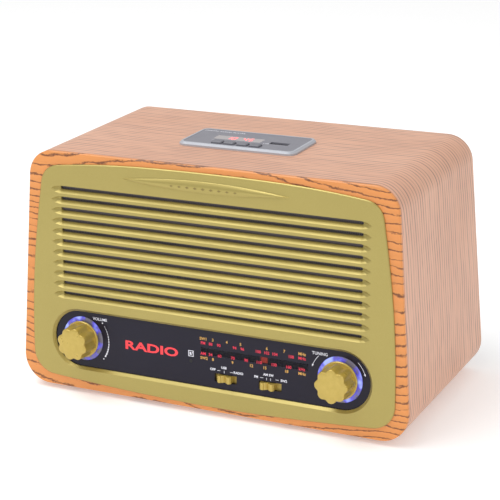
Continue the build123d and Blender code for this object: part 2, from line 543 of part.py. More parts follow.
def top_panel():
    top = CABINET_HEIGHT
    middle = Pos(PANEL_X, PANEL_Y)
    outer = middle * RectangleRounded(*PANEL_SIZE, 5.0)
    seat = middle * RectangleRounded(*LABEL_SIZE, 3.2)
    well = middle * RectangleRounded(*WELL_SIZE, 1.5)
    skirt = middle * RectangleRounded(*SKIRT_SIZE, 2.0)
    rim = level(outer, top, top + PANEL_HEIGHT)
    rim = chamfer(rim.faces().sort_by(Axis.Z)[-1].edges(), 1.2)
    rim += level(skirt, MODULE_BOARD_Z, top)
    rim -= level(seat, top + PANEL_HEIGHT - LABEL_THICKNESS, top + 10)
    rim -= level(well, MODULE_BOARD_Z - 5, top + 10)
    nodes["top_panel_rim"] = rim

    label_low, label_high = top + PANEL_HEIGHT - LABEL_THICKNESS, top + PANEL_HEIGHT - 0.2
    label = seat - Pos(DISPLAY_X, DISPLAY_Y) * Rectangle(*DISPLAY_SIZE) - Pos(USB_X, USB_Y) * Rectangle(*USB_SLOT)
    for x in KEY_X:
        label -= key_window(x, 0.3)
    nodes["top_panel_label"] = level(label, label_low, label_high)
    nodes["display_window"] = level(Pos(DISPLAY_X, DISPLAY_Y) * Rectangle(*DISPLAY_SIZE), label_high - 0.6, label_high)
    nodes["display_module"] = level(
        Pos(DISPLAY_X, DISPLAY_Y) * Rectangle(DISPLAY_SIZE[0] - 1, DISPLAY_SIZE[1] - 1),
        MODULE_BOARD_Z + BOARD_THICKNESS, label_high - 0.9)

    stem_low = MODULE_BOARD_Z + BOARD_THICKNESS + 6.0
    for number, x in enumerate(KEY_X, start=1):
        cap = level(key_window(x, 0.0), label_low - 0.6, label_high + KEY_PROUD)
        cap = chamfer(cap.faces().sort_by(Axis.Z)[-1].edges(), 0.5)
        cap += level(key_window(x, 0.5), label_low - 1.4, label_low - 0.1)
        cap += level(Pos(x, KEY_Y) * Rectangle(2.4, 2.4), stem_low, label_low)
        nodes[f"key_{number}"] = cap
    switches_low = MODULE_BOARD_Z + BOARD_THICKNESS
    nodes["tact_switches"] = Part() + [
        level(Pos(x, KEY_Y) * Rectangle(6.0, 6.0), switches_low, switches_low + 3.6)
        + level(Pos(x, KEY_Y) * Circle(1.7), switches_low, switches_low + 5.0)
        for x in KEY_X
    ]
    board = middle * RectangleRounded(WELL_SIZE[0] - 0.4, WELL_SIZE[1] - 0.4, 1.2)
    nodes["module_board"] = level(board, MODULE_BOARD_Z, MODULE_BOARD_Z + BOARD_THICKNESS)

    shell = Pos(USB_X, USB_Y) * Rectangle(13.1, 5.7) - Pos(USB_X, USB_Y) * Rectangle(12.5, 5.1)
    socket = level(shell, switches_low, label_low)
    socket += level(Pos(USB_X, USB_Y) * Rectangle(12.6, 5.2), switches_low, switches_low + 1.5)
    socket += level(Pos(USB_X, USB_Y + 1.2) * Rectangle(11.1, 1.8), switches_low, label_low - 1.5)
    nodes["usb_socket"] = socket


# ---- rear ----
def vent_slots():
    """Two banks of slots above the battery bay."""
    return Sketch() + [
        Pos(side * VENT_X, VENT_LOWEST + VENT_PITCH * row) * SlotOverall(*VENT_SIZE)
        for side in (-1, 1) for row in range(VENT_ROWS)
    ]


def rear_panel():
    low, high = REAR_FACE - REAR_THICKNESS, REAR_FACE
    panel = upright(cabinet_section(WALL + 0.3), low, high)
    panel -= upright(vent_slots(), low - 1, high + 1)
    panel -= upright(Pos(0, BAY_Z) * RectangleRounded(*BAY_SIZE, 2.0), low - 1, high + 1)
    panel -= upright(Pos(0, BAY_Z) * RectangleRounded(BAY_SIZE[0] + 5, BAY_SIZE[1] + 5, 3.0), high - 1.6, high + 1)
    inlet_hole = RectangleRounded(INLET_BODY[0] + 0.2, INLET_BODY[1] + 0.2, 2.0)
    panel -= upright(Pos(INLET_X, INLET_Z) * inlet_hole, low - 1, high + 1)
    panel -= upright(Pos(JACK_X, JACK_Z) * Circle(JACK_RADIUS + 0.1), low - 1, high + 1)
    panel -= upright(Pos(AERIAL_X, AERIAL_Z) * Circle(3.0 + RUNNING), low - 1, high + 1)
    panel -= rear_screw_holes(1.6)
    nodes["rear_panel"] = panel

    shelf_top = AERIAL_Z - AERIAL_RADII[0] - 0.05
    nodes["aerial_rests"] = Part() + [
        span((x - 4, x + 4), (high, AERIAL_Y + 2.0), (shelf_top - 2.5, shelf_top))
        + span((x - 1.2, x + 1.2), (high, AERIAL_Y - 1.0), (shelf_top - 9, shelf_top - 2.5))
        for x in AERIAL_RESTS_X
    ]

    door = upright(Pos(0, BAY_Z) * RectangleRounded(BAY_SIZE[0] + 4.4, BAY_SIZE[1] + 4.4, 2.7), high - 1.6, high - 0.1)
    for row in range(5):
        grip = Pos(0, BAY_Z + 22 - 2.4 * row) * SlotOverall(26 - 4 * row, 1.2)
        door += upright(grip, high - 0.2, high + 0.5)
    latch = upright(Pos(0, BAY_Z + 24) * Rectangle(16, 9), low - 1.2, high - 1.5)
    nodes["battery_door"] = door + latch

    outer = upright(Pos(0, BAY_Z) * RectangleRounded(BAY_SIZE[0] + 3, BAY_SIZE[1] + 3, 3.0), low - BAY_DEPTH, low)
    inner = upright(Pos(0, BAY_Z) * RectangleRounded(*BAY_SIZE, 2.0), low - BAY_DEPTH + 1.5, low + 1)
    tray = outer - inner
    for x in CELL_WALLS:
        wall = span((x - 0.75, x + 0.75), (low - BAY_DEPTH + 1, low - 16), (BAY_Z - 32.2, BAY_Z + 32.2))
        tray += wall
    nodes["battery_tray"] = tray

    contacts = []
    for x in CELL_COLUMNS:
        floor, roof = BAY_Z - BAY_SIZE[1] / 2, BAY_Z + BAY_SIZE[1] / 2
        middle = low - BAY_DEPTH / 2
        contacts.append(Pos(x, middle, roof - 0.3) * Box(14, 14, 0.6))
        contacts.append(Pos(x, middle, floor + 0.3) * Box(16, 16, 0.6))
        for turn in range(4):
            contacts.append(Pos(x, middle, floor + 1.1 + 1.05 * turn) * Torus(6.4 - 0.9 * turn, 0.55))
    nodes["battery_contacts"] = Part() + contacts

    flange = upright(Pos(INLET_X, INLET_Z) * RectangleRounded(*INLET_FLANGE, 3.0), high, high + 1.4)
    body = upright(Pos(INLET_X, INLET_Z) * RectangleRounded(*INLET_BODY, 2.0), low - 15, high)
    recess = upright(Pos(INLET_X, INLET_Z) * SlotOverall(*INLET_MOUTH), low - 12, high + 5)
    pin_sections = Sketch() + [
        Pos(INLET_X + side * INLET_PIN_X, INLET_Z) * Circle(INLET_PIN_RADIUS) for side in (-1, 1)
    ]
    pins = upright(pin_sections, low - 13, high - 2)
    nodes["mains_inlet"] = flange + body - recess + pins

    jack = upright(Pos(JACK_X, JACK_Z) * Rectangle(11, 9), low - 14, low)
    jack += upright(Pos(JACK_X, JACK_Z) * Circle(JACK_RADIUS), low - 1, high)
    jack += upright(Pos(JACK_X, JACK_Z) * RegularPolygon(4.6, 6), high, high + 1.6)
    nodes["aux_jack"] = jack - upright(Pos(JACK_X, JACK_Z) * Circle(JACK_BORE), low - 12.4, high + 5)

    heads = []
    for x, z in SCREW_CORNERS:
        head = turned([(0, 2.0), (1.6, 1.9), (2.6, 1.2), (2.9, 0), (1.4, 0), (1.4, -14), (0, -15)])
        head -= Pos(0, 0, 1.7) * (Box(2.6, 0.6, 1.2) + Box(0.6, 2.6, 1.2))
        heads.append(Pos(x, high, z) * Rot(-90, 0, 0) * head)
    nodes["rear_screws"] = Part() + heads

    inner_heads = []
    for x, height in BOSSES:
        screw = turned([(0, -2.0), (2.8, -2.0), (2.8, 0), (1.4, 0), (1.4, 8), (0, 8)])
        inner_heads.append(FRONT * Pos(x, height, BOARD_LEVEL - BOARD_THICKNESS) * screw)
    for x, height in SPEAKER_FIXINGS:
        radius = SPEAKER_SCREW_RADIUS
        screw = turned([(0, -1.6), (2.3, -1.6), (2.3, 0), (radius, 0), (radius, 2.5), (0, 2.5)])
        inner_heads.append(FRONT * Pos(x, height, -4.2) * screw)
    nodes["inner_screws"] = Part() + inner_heads


def aerial():
    foot_y = AERIAL_Y - REAR_FACE
    base = Pos(0, -foot_y + 1.0, 0) * Rot(90, 0, 0) * Cylinder(5.6, 1.9)
    base += Pos(0, -foot_y - 2.5, 0) * Rot(90, 0, 0) * Cylinder(3.0, 5.2)
    base += Pos(0, -foot_y - 4.2, 0) * Rot(90, 0, 0) * Cylinder(5.0, 2.0)
    for side in (-1, 1):
        ear = Cylinder(3.0, 1.5) + Pos(0, -2.75, 0) * Box(6.0, 5.5, 1.5)
        base += Pos(0, 0, side * 2.4) * ear
    base += Cylinder(AERIAL_TILT_PIN, 5.0)
    nodes["aerial_base"] = Pos(AERIAL_X, AERIAL_Y, AERIAL_Z) * base

    place = Pos(AERIAL_X, AERIAL_Y, AERIAL_Z) * Rot(0, -90, 0)
    tongue = Cylinder(2.8, 3.0) + Pos(-3.4, 0, 0) * Box(5.0, 4.0, 3.0)
    tongue -= Cylinder(AERIAL_TILT_PIN + RUNNING, 6)
    bore = AERIAL_RADII[1] + RUNNING
    tube = turned([(0, 4.4), (3.0, 4.4), (3.0, AERIAL_LENGTH), (bore, AERIAL_LENGTH), (bore, 6.0), (0, 6.0)])
    nodes["aerial_section_1"] = Pos(AERIAL_X, AERIAL_Y, AERIAL_Z) * tongue + place * tube
    middle_start, tip_start = 6.3, 7.8
    radius, end = AERIAL_RADII[1], AERIAL_LENGTH + 1.5
    bore = AERIAL_RADII[2] + RUNNING
    nodes["aerial_section_2"] = place * turned([
        (0, middle_start), (radius, middle_start), (radius, end), (bore, end), (bore, middle_start + 1.2),
        (0, middle_start + 1.2)])
    radius, end = AERIAL_RADII[2], AERIAL_LENGTH + 3.2
    nodes["aerial_section_3"] = place * turned([
        (0, tip_start), (radius, tip_start), (radius, end), (2.6, end), (3.0, end + 0.8), (3.0, end + 4.2),
        (2.2, end + 5.4), (0, end + 5.6)])


def to_row_frame(shape):
    return Pos(0, -MIDDLE_DEPTH, FOOT_HEIGHT) * shape


def main():
    cabinet()
    bezel()
    grille_cloth()
    dial()
    light_rings()
    controls()
    switches()
    main_board()
    speaker()
    inner_parts()
    top_panel()
    rear_panel()
    aerial()
    os.makedirs("parts", exist_ok=True)
    for name, shape in nodes.items():
        export_step(to_row_frame(shape), f"parts/{name}.step")


main()
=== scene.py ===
"""Looks for a retro table radio: materials, printed dial, knobs, lit display and a pale studio."""

import json
from math import cos, pi, radians, sin

import bpy
from mathutils import Matrix, Vector


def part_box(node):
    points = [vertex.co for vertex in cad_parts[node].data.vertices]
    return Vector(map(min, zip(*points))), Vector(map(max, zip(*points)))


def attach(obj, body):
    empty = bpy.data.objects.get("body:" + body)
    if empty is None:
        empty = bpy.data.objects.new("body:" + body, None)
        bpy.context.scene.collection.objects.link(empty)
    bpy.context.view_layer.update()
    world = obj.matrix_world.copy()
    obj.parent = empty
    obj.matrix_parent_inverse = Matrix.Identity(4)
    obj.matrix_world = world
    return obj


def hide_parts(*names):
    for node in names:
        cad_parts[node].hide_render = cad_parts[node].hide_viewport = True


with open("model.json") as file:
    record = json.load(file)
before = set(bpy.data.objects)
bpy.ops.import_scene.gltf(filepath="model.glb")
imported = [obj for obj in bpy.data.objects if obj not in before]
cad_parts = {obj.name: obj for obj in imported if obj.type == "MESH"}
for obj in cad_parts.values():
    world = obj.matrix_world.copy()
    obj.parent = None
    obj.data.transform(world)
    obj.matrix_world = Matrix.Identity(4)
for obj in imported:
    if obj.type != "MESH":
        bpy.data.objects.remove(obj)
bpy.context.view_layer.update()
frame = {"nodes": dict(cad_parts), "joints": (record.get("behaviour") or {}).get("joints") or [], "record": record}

# ---- places: distances on the object are in millimetres, and MM turns them into metres ----
MM = 0.001
KNOB_RISE = 32.95  # from the front's lowest line up to the knobs' axes
BADGE_RISE = 137.9
LENS_FACE = -1.0  # out from the front's plane, so the dial lens stands behind it
INK_LIFT = 0.03  # how far the middle of the ink stands above what it is printed on
INK_DEPTH = 0.02  # half of the ink's thickness

joints = {joint["name"]: joint for joint in frame["joints"]}
volume_at = Vector(joints["volume_turn"]["pos_m"])
tuning_at = Vector(joints["tuning_turn"]["pos_m"])
dial_middle = (volume_at + tuning_at) / 2
knob_reach = (tuning_at - volume_at).length / 2 / MM  # each knob's distance from the middle
right = (tuning_at - volume_at).normalized()
inward = Vector(joints["volume_turn"]["axis"]).normalized()
face_up = right.cross(inward)


def face_matrix(x, rise, out=0.0):
    """Local frame on the leaning front: X right, Y up along the face, Z outward.

    x is taken from the middle between the knobs, rise from the front's lowest line, and out from the
    plane of the front board's face.
    """
    place = dial_middle + (right * x + face_up * (rise - KNOB_RISE) - inward * out) * MM
    return Matrix.Translation(place) @ Matrix((right, face_up, -inward)).transposed().to_4x4()


def on_lens(x, rise):
    """Local frame of a mark printed on the dial lens."""
    return face_matrix(x, rise, LENS_FACE + INK_LIFT)


def beside_knob(side, angle, reach):
    """Local frame on the lens, at an angle round the left (-1) or right (1) knob, that far from its axis."""
    return on_lens(side * knob_reach + reach * cos(angle), KNOB_RISE + reach * sin(angle))


def over_panel(node, x, y, lift=INK_LIFT):
    """Local frame at the level of the top panel's label, x and y from the middle of a node's box."""
    low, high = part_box(node)
    middle = (low + high) / 2
    label_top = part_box("top_panel_label")[1].z
    return Matrix.Translation((middle.x + x * MM, middle.y + y * MM, label_top + lift * MM))


def turn(angle):
    """Turn about the local Z, by an angle in radians."""
    return Matrix.Rotation(angle, 4, "Z")


def add_object(name, data):
    """New object in the scene."""
    thing = bpy.data.objects.new(name, data)
    bpy.context.scene.collection.objects.link(thing)
    return thing


# ---- materials: noise scales are in waves per metre, bump distances in metres ----
def linear(red, green, blue):
    """Linear colour from 0 to 255 screen values."""
    def convert(value):
        value /= 255
        return value / 12.92 if value <= 0.04045 else ((value + 0.055) / 1.055) ** 2.4
    return (convert(red), convert(green), convert(blue), 1.0)


def darker(color, share):
    """The same colour at a share of its brightness."""
    return tuple(share * channel for channel in color[:3]) + (1.0,)


class Material:
    """A node material with short calls for the nodes that the surfaces here share."""

    def __init__(self, name, color, roughness=0.5, metallic=0.0, **sockets):
        self.data = bpy.data.materials.new(name)
        self.data.use_nodes = True
        self.nodes, self.links = self.data.node_tree.nodes, self.data.node_tree.links
        self.shader = self.nodes["Principled BSDF"]
        self.set("Base Color", color)
        self.set("Roughness", roughness)
        self.set("Metallic", metallic)
        for socket, value in sockets.items():
            self.set(socket.replace("_", " "), value)
        self.place = self.nodes.new("ShaderNodeTexCoord").outputs["Object"]

    def set(self, socket, value):
        """Gives one of the shader's sockets a fixed value."""
        self.shader.inputs[socket].default_value = value

    def feed(self, target, value):
        """Gives a socket a number, a colour or another node's output."""
        if isinstance(value, (int, float, tuple)):
            target.default_value = value
        else:
            self.links.new(value, target)

    def noise(self, scale, detail=2.0, roughness=0.5, stretch=(1, 1, 1)):
        """Noise from 0 to 1, with its scale multiplied by stretch along each axis."""
        mapping = self.nodes.new("ShaderNodeMapping")
        mapping.inputs["Scale"].default_value = stretch
        self.links.new(self.place, mapping.inputs["Vector"])
        node = self.nodes.new("ShaderNodeTexNoise")
        node.inputs["Scale"].default_value = scale
        node.inputs["Detail"].default_value = detail
        node.inputs["Roughness"].default_value = roughness
        self.links.new(mapping.outputs["Vector"], node.inputs["Vector"])
        return node.outputs["Fac"]

    def math(self, operation, *values):
        """One arithmetic node."""
        node = self.nodes.new("ShaderNodeMath")
        node.operation = operation
        for target, value in zip(node.inputs, values):
            self.feed(target, value)
        return node.outputs["Value"]

    def part(self, axis):
        """One coordinate of the surface's place, in metres."""
        node = self.nodes.new("ShaderNodeSeparateXYZ")
        self.links.new(self.place, node.inputs["Vector"])
        return node.outputs[axis]

    def ramp(self, factor, *stops):
        """Colour ramp over stops of a position and a grey level or colour."""
        node = self.nodes.new("ShaderNodeValToRGB")
        elements = node.color_ramp.elements
        while len(elements) < len(stops):
            elements.new(0.5)
        for element, (position, color) in zip(elements, stops):
            element.position = position
            element.color = color if isinstance(color, tuple) else (color, color, color, 1)
        self.links.new(factor, node.inputs["Fac"])
        return node.outputs["Color"]

    def mix(self, factor, first, second):
        """Colour between two colours."""
        node = self.nodes.new("ShaderNodeMix")
        node.data_type = "RGBA"
        color_a, color_b, mixed = node.inputs[6], node.inputs[7], node.outputs[2]
        self.feed(node.inputs["Factor"], factor)
        self.feed(color_a, first)
        self.feed(color_b, second)
        return mixed

    def bump(self, height, distance, strength):
        """Relief from a height between 0 and 1."""
        node = self.nodes.new("ShaderNodeBump")
        node.inputs["Strength"].default_value = strength
        node.inputs["Distance"].default_value = distance
        self.links.new(height, node.inputs["Height"])
        self.links.new(node.outputs["Normal"], self.shader.inputs["Normal"])

    def color(self, value):
        """Base colour from a node's output."""
        self.links.new(value, self.shader.inputs["Base Color"])

    def glow(self, value, strength):
        """Light that the surface gives off."""
        self.feed(self.shader.inputs["Emission Color"], value)
        self.set("Emission Strength", strength)

    def vary_roughness(self, scale, low, high, stretch=(1, 1, 1)):
        """Roughness that wanders between two values."""
        spread = self.noise(scale, 3.0, 0.6, stretch)
        self.links.new(self.ramp(spread, (0.3, low), (0.7, high)), self.shader.inputs["Roughness"])


def wood_lines(film, axis, lines_per_metre, waves, stops):
    """Growth lines across an axis, each pushed along it by waves of (noise, reach in metres)."""
    warped = film.part(axis)
    for wave, reach in waves:
        warped = film.math("MULTIPLY_ADD", wave, reach, warped)
    return film.ramp(film.math("FRACT", film.math("MULTIPLY", warped, lines_per_metre)), *stops)


def tan_veneer():
    """Pinkish tan wood film whose grey-brown lines run round the cabinet's girth."""
    film = Material("tan_veneer", linear(214, 166, 140), 0.45, Coat_Weight=0.10, Coat_Roughness=0.35)
    drift = film.noise(6.0, 2.0, 0.5, (1.0, 0.8, 1.0))
    ripple = film.noise(48.0, 2.0, 0.5, (0.4, 0.4, 0.4))
    line = wood_lines(
        film, "Y", 290.0, ((drift, 0.034), (ripple, 0.0014)),
        ((0.0, 1.0), (0.10, 0.85), (0.26, 0.12), (0.86, 0.0), (1.0, 0.9)))
    broken = film.noise(380.0, 3.0, 0.65, (0.08, 1.0, 0.08))
    pores = film.ramp(broken, (0.38, 0.2), (0.58, 1.0))
    fibre = film.noise(700.0, 2.0, 0.6, (0.05, 1.0, 0.05))
    cloud = film.noise(16.0, 3.0, 0.6, (0.5, 1.0, 0.5))
    base = film.mix(cloud, linear(214, 158, 126), linear(234, 186, 158))
    base = film.mix(film.ramp(fibre, (0.45, 0.0), (0.75, 0.30)), base, linear(178, 132, 116))
    strength = film.math("MULTIPLY", film.math("MULTIPLY", line, pores), 0.85)
    film.color(film.mix(strength, base, linear(112, 88, 86)))
    film.bump(strength, 0.00012, 0.35)
    return film.data


def orange_veneer():
    """Orange wood film with thin dark brown lines that run across the front."""
    film = Material("orange_veneer", linear(240, 150, 80), 0.40, Coat_Weight=0.15, Coat_Roughness=0.25)
    drift = film.noise(7.0, 2.0, 0.5, (0.55, 1.0, 1.0))
    ragged = film.noise(150.0, 4.0, 0.75, (0.45, 0.0, 1.0))
    line = wood_lines(
        film, "Z", 200.0, ((drift, 0.085), (ragged, 0.0056)),
        ((0.0, 1.0), (0.09, 0.95), (0.17, 0.1), (0.90, 0.0), (1.0, 0.9)))
    broken = film.noise(150.0, 4.0, 0.7, (0.30, 0.0, 2.0))
    worn = film.ramp(broken, (0.34, 0.0), (0.48, 1.0))
    cloud = film.noise(14.0, 3.0, 0.6, (0.4, 1.0, 1.0))
    base = film.mix(cloud, linear(216, 134, 68), linear(240, 160, 86))
    strength = film.math("MULTIPLY", film.math("MULTIPLY", line, worn), 0.9)
    film.color(film.mix(strength, base, linear(96, 50, 26)))
    film.bump(strength, 0.00012, 0.35)
    return film.data


def gold_paint():
    """Satin metallic gold paint with a faint flake."""
    paint = Material("gold_paint", linear(184, 166, 92), 0.36, 0.55, Coat_Weight=0.12, Coat_Roughness=0.25)
    flake = paint.noise(2600.0, 2.0, 0.6)
    paint.color(paint.mix(flake, linear(166, 150, 80), linear(182, 166, 100)))
    paint.vary_roughness(40.0, 0.32, 0.40)
    paint.bump(flake, 0.00002, 0.25)
    return paint.data


def knob_gold():
    """Bright gold plating with a soft haze."""
    plating = Material("knob_gold", linear(205, 172, 84), 0.28, 0.35, Coat_Weight=0.3, Coat_Roughness=0.12)
    haze = plating.noise(320.0, 3.0, 0.6)
    plating.color(plating.mix(haze, linear(184, 158, 70), linear(204, 178, 92)))
    plating.vary_roughness(180.0, 0.26, 0.36)
    return plating.data


def moulded(name, color, roughness, grain=900.0, depth=0.00003, **sockets):
    """Moulded plastic with a fine spark-eroded texture."""
    plastic = Material(name, color, roughness, **sockets)
    grains = plastic.noise(grain, 3.0, 0.6)
    plastic.color(plastic.mix(grains, darker(color, 0.82), color))
    plastic.vary_roughness(grain / 12, roughness - 0.06, roughness + 0.06)
    plastic.bump(grains, depth, 0.4)
    return plastic.data


def brushed(name, color, roughness):
    """Plated metal, drawn along X."""
    drawn_along_x = (1, 20, 20)
    metal = Material(name, color, roughness, 1.0)
    drawn = metal.noise(180.0, 3.0, 0.6, drawn_along_x)
    metal.color(metal.mix(drawn, darker(color, 0.86), color))
    metal.vary_roughness(200.0, roughness - 0.08, roughness + 0.08, drawn_along_x)
    return metal.data


def speaker_cloth():
    """Black perforated sheet: rows of round holes in dark paint, each hole drawn in near-black painted shade
    rather than cut through.
    """
    cloth = Material("black_mesh", linear(52, 48, 54), 0.6)
    cells = cloth.nodes.new("ShaderNodeTexVoronoi")
    cells.inputs["Scale"].default_value = 900.0
    cells.inputs["Randomness"].default_value = 0.0
    cloth.links.new(cloth.place, cells.inputs["Vector"])
    between_holes = cloth.ramp(cells.outputs["Distance"], (0.30, 0.0), (0.42, 1.0))
    # near-black in the holes is painted shade; the lighter colour is the sheet's paint
    cloth.color(cloth.mix(between_holes, linear(10, 9, 12), linear(84, 78, 84)))
    cloth.bump(between_holes, 0.0002, 0.6)
    return cloth.data


def dark_lens():
    """Polished navy-black acrylic with faint handling haze."""
    lens = Material(
        "dark_lens", linear(30, 27, 42), 0.20, Coat_Weight=0.05, Coat_Roughness=0.08, Specular_IOR_Level=0.22)
    haze = lens.noise(30.0, 4.0, 0.6)
    lens.color(lens.mix(haze, linear(27, 24, 38), linear(35, 32, 47)))
    lens.vary_roughness(26.0, 0.16, 0.26)
    return lens.data


def light_guide():
    """Frosted ring, lit violet-blue from behind in patches and grey between them; the patches are painted into its
    base colour too, and the whitish brightest ones are painted highlights.
    """
    guide = Material("light_guide", linear(150, 150, 172), 0.25, Coat_Weight=0.4, Coat_Roughness=0.1)
    spread = guide.noise(95.0, 2.0, 0.6)
    light = guide.ramp(
        spread, (0.49, linear(36, 34, 50)), (0.57, linear(70, 62, 230)), (0.68, linear(140, 160, 255)))
    guide.glow(light, 0.38)
    # base colour: the backlight's patches painted in, with a painted highlight at the whitish top stop
    guide.color(guide.ramp(
        spread, (0.49, linear(112, 108, 124)), (0.58, linear(92, 86, 196)), (0.70, linear(170, 185, 245))))
    guide.bump(guide.noise(900.0, 2.0, 0.6), 0.00006, 0.4)
    guide.vary_roughness(120.0, 0.20, 0.32)
    return guide.data


def clear_lens(name, color, alpha):
    """Tinted window that shows what is behind it."""
    clear = Material(
        name, color, 0.10, Coat_Weight=0.05, Coat_Roughness=0.05, Specular_IOR_Level=0.25, Alpha=alpha)
    clear.vary_roughness(60.0, 0.04, 0.10)
    return clear.data


def lit(name, color, strength):
    """Coloured plastic that glows."""
    glowing = Material(name, color, 0.4)
    glowing.glow(color, strength)
    glowing.vary_roughness(400.0, 0.35, 0.45)
    return glowing.data


def ink(name, color, strength=0.0):
    """Slightly uneven screen ink, which glows where it is lit from behind; on the top label, which has no light
    behind it, the glow is painted light.
    """
    print_ink = Material(name, color, 0.5)
    spread = print_ink.noise(1500.0, 2.0, 0.6)
    print_ink.color(print_ink.mix(spread, darker(color, 0.8), color))
    print_ink.glow(color, strength)
    print_ink.vary_roughness(300.0, 0.45, 0.6)
    return print_ink.data


def make_materials():
    """One material for each slot of the record."""
    black = linear(30, 30, 32)
    return {
        "tan_veneer": tan_veneer(),
        "orange_veneer": orange_veneer(),
        "plain_wood": moulded("plain_wood", linear(196, 164, 120), 0.7, 300.0),
        "foot_rubber": moulded("foot_rubber", linear(28, 28, 28), 0.85, 700.0),
        "gold_paint": gold_paint(),
        "knob_gold": knob_gold(),
        "black_mesh": speaker_cloth(),
        "dark_lens": dark_lens(),
        "clear_lens": clear_lens("clear_lens", linear(22, 19, 32), 0.50),
        "black_plastic": moulded("black_plastic", black, 0.5),
        "black_plastic_hard": moulded("black_plastic_hard", black, 0.35),
        "light_guide": light_guide(),
        "circuit_board": moulded("circuit_board", linear(32, 92, 52), 0.35, 260.0),
        "plated_steel": brushed("plated_steel", linear(200, 200, 204), 0.28),
        "white_plastic": moulded("white_plastic", linear(226, 226, 220), 0.4),
        "clear_case": moulded("clear_case", linear(190, 196, 192), 0.3),
        "cord": moulded("cord", linear(196, 184, 150), 0.8, 2400.0),
        "red_pointer": lit("red_pointer", linear(245, 84, 56), 1.0),
        "black_steel": moulded("black_steel", linear(24, 24, 26), 0.35, 500.0),
        "paper_cone": moulded("paper_cone", linear(36, 35, 34), 0.9, 500.0),
        "ferrite": moulded("ferrite", linear(52, 52, 54), 0.6, 400.0),
        "copper_wire": moulded("copper_wire", linear(176, 92, 46), 0.35, 500.0),
        "core_iron": moulded("core_iron", linear(70, 68, 68), 0.5, 300.0),
        "silver_plastic": moulded("silver_plastic", linear(186, 190, 198), 0.42, 1400.0, Metallic=0.1),
        "grey_label": moulded("grey_label", linear(134, 133, 142), 0.42, 1200.0),
        "display_lens": clear_lens("display_lens", linear(186, 180, 180), 0.85),
        "grey_key": moulded("grey_key", linear(122, 122, 130), 0.45, 1000.0),
        "rear_plastic": moulded("rear_plastic", linear(34, 34, 36), 0.62, 520.0, 0.00008),
        "contact_steel": brushed("contact_steel", linear(206, 204, 196), 0.25),
        "jack_plastic": moulded("jack_plastic", linear(26, 26, 28), 0.4),
        "aerial_chrome": brushed("aerial_chrome", linear(222, 222, 224), 0.12),
    }


def dress(materials):
    """Gives every CAD node the material of its slot."""
    for row in frame["record"]["subparts"]:
        node = frame["nodes"][row["node"]]
        node.data.materials.clear()
        node.data.materials.append(materials[row["material_slot"]])


# ---- meshes and pieces ----
CAPITAL = 0.70  # height of a capital in a text of size 1


def rectangle(half_width, half_height):
    """Outline of a rectangle about its middle."""
    return (
        (-half_width, -half_height), (half_width, -half_height), (half_width, half_height),
        (-half_width, half_height))


def disc(radius, count):
    """Outline of a disc with that many corners."""
    return [(radius * cos(2 * pi * i / count), radius * sin(2 * pi * i / count)) for i in range(count)]


def slab(points, place, depth=INK_DEPTH):
    """Thin mesh over a convex outline of (x, y) points, that deep to each side of its place."""
    count = len(points)
    corners = [(x * MM, y * MM, level * MM) for level in (-depth, depth) for x, y in points]
    faces = [tuple(reversed(range(count))), tuple(range(count, 2 * count))]
    faces += [(i, (i + 1) % count, (i + 1) % count + count, i + count) for i in range(count)]
    mesh = bpy.data.meshes.new("slab")
    mesh.from_pydata(corners, [], faces)
    mesh.transform(place)
    return mesh


def lettering(text, capital, place, bold, stretch=1.0):
    """Mesh of a text centred on its place, with capitals of that height, made bold by a rim of that width."""
    curve = bpy.data.curves.new("lettering", "FONT")
    curve.body, curve.align_x, curve.align_y = text, "CENTER", "CENTER"
    curve.size = capital * MM / CAPITAL
    curve.offset, curve.extrude, curve.resolution_u = bold * MM, INK_DEPTH * MM, 3
    holder = add_object("lettering", curve)
    bpy.context.view_layer.update()
    mesh = bpy.data.meshes.new_from_object(holder.evaluated_get(bpy.context.evaluated_depsgraph_get()))
    bpy.data.objects.remove(holder)
    bpy.data.curves.remove(curve)
    mesh.transform(place @ Matrix.Diagonal((stretch, 1, 1, 1)))
    return mesh


def add_piece(name, mesh, material, body):
    """Piece of the object, which rides on a body."""
    mesh.materials.append(material)
    piece = add_object(name, mesh)
    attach(piece, body)
    return piece


def add_joined(name, meshes, material):
    """One piece on the cabinet from several meshes."""
    corners, faces = [], []
    for mesh in meshes:
        first = len(corners)
        corners += [vertex.co.copy() for vertex in mesh.vertices]
        faces += [[first + index for index in face.vertices] for face in mesh.polygons]
        bpy.data.meshes.remove(mesh)
    whole = bpy.data.meshes.new(name)
    whole.from_pydata(corners, [], faces)
    add_piece(name, whole, material, "cabinet")


def grid_faces(rows, columns, closed=False):
    """Faces of a grid whose points lie row after row, closed where each row's last point meets its first."""
    steps = columns if closed else columns - 1
    return [
        (row * columns + i, row * columns + (i + 1) % columns,
         (row + 1) * columns + (i + 1) % columns, (row + 1) * columns + i)
        for row in range(rows - 1) for i in range(steps)]


# ---- dial ----
TITLE_CAPITAL, TITLE_STRETCH = 5.2, 1.62
KNOB_CAPITAL = 1.8
SCALE_CAPITAL = 1.75
SWITCH_CAPITAL = 1.45
SCALE_ROWS = {  # for each colour, rows of a rise and words with the x of their middles
    "orange": (
        (44.8, (
            ("SW1", -2.4), ("3", 3.9), ("4", 13.2), ("5", 22.3), ("6", 39.5), ("7", 50.7), ("MHz", 62.1))),
        (32.7, (
            ("SW2", -2.0), ("8", 4.0), ("9", 17.0), ("12", 29.4), ("15", 38.2), ("18", 52.2), ("MHz", 62.2))),
    ),
    "red": (
        (42.1, (
            ("FM", -2.6), ("88", 2.5), ("90", 7.9), ("94", 18.4), ("96", 23.5), ("100", 33.8), ("102", 39.3),
            ("104", 44.6), ("108", 55.1), ("MHz", 62.1))),
        (35.5, (
            ("AM", -2.5), ("54", 2.4), ("60", 8.4), ("70", 17.2), ("90", 26.0), ("110", 34.4), ("130", 44.1),
            ("160", 53.5), ("kHz", 62.1))),
    ),
}
TITLE_AT = -38.0, 33.1
KNOB_WORDS = (("VOLUME", -73.8, 46.8), ("TUNING", 73.4, 46.8))
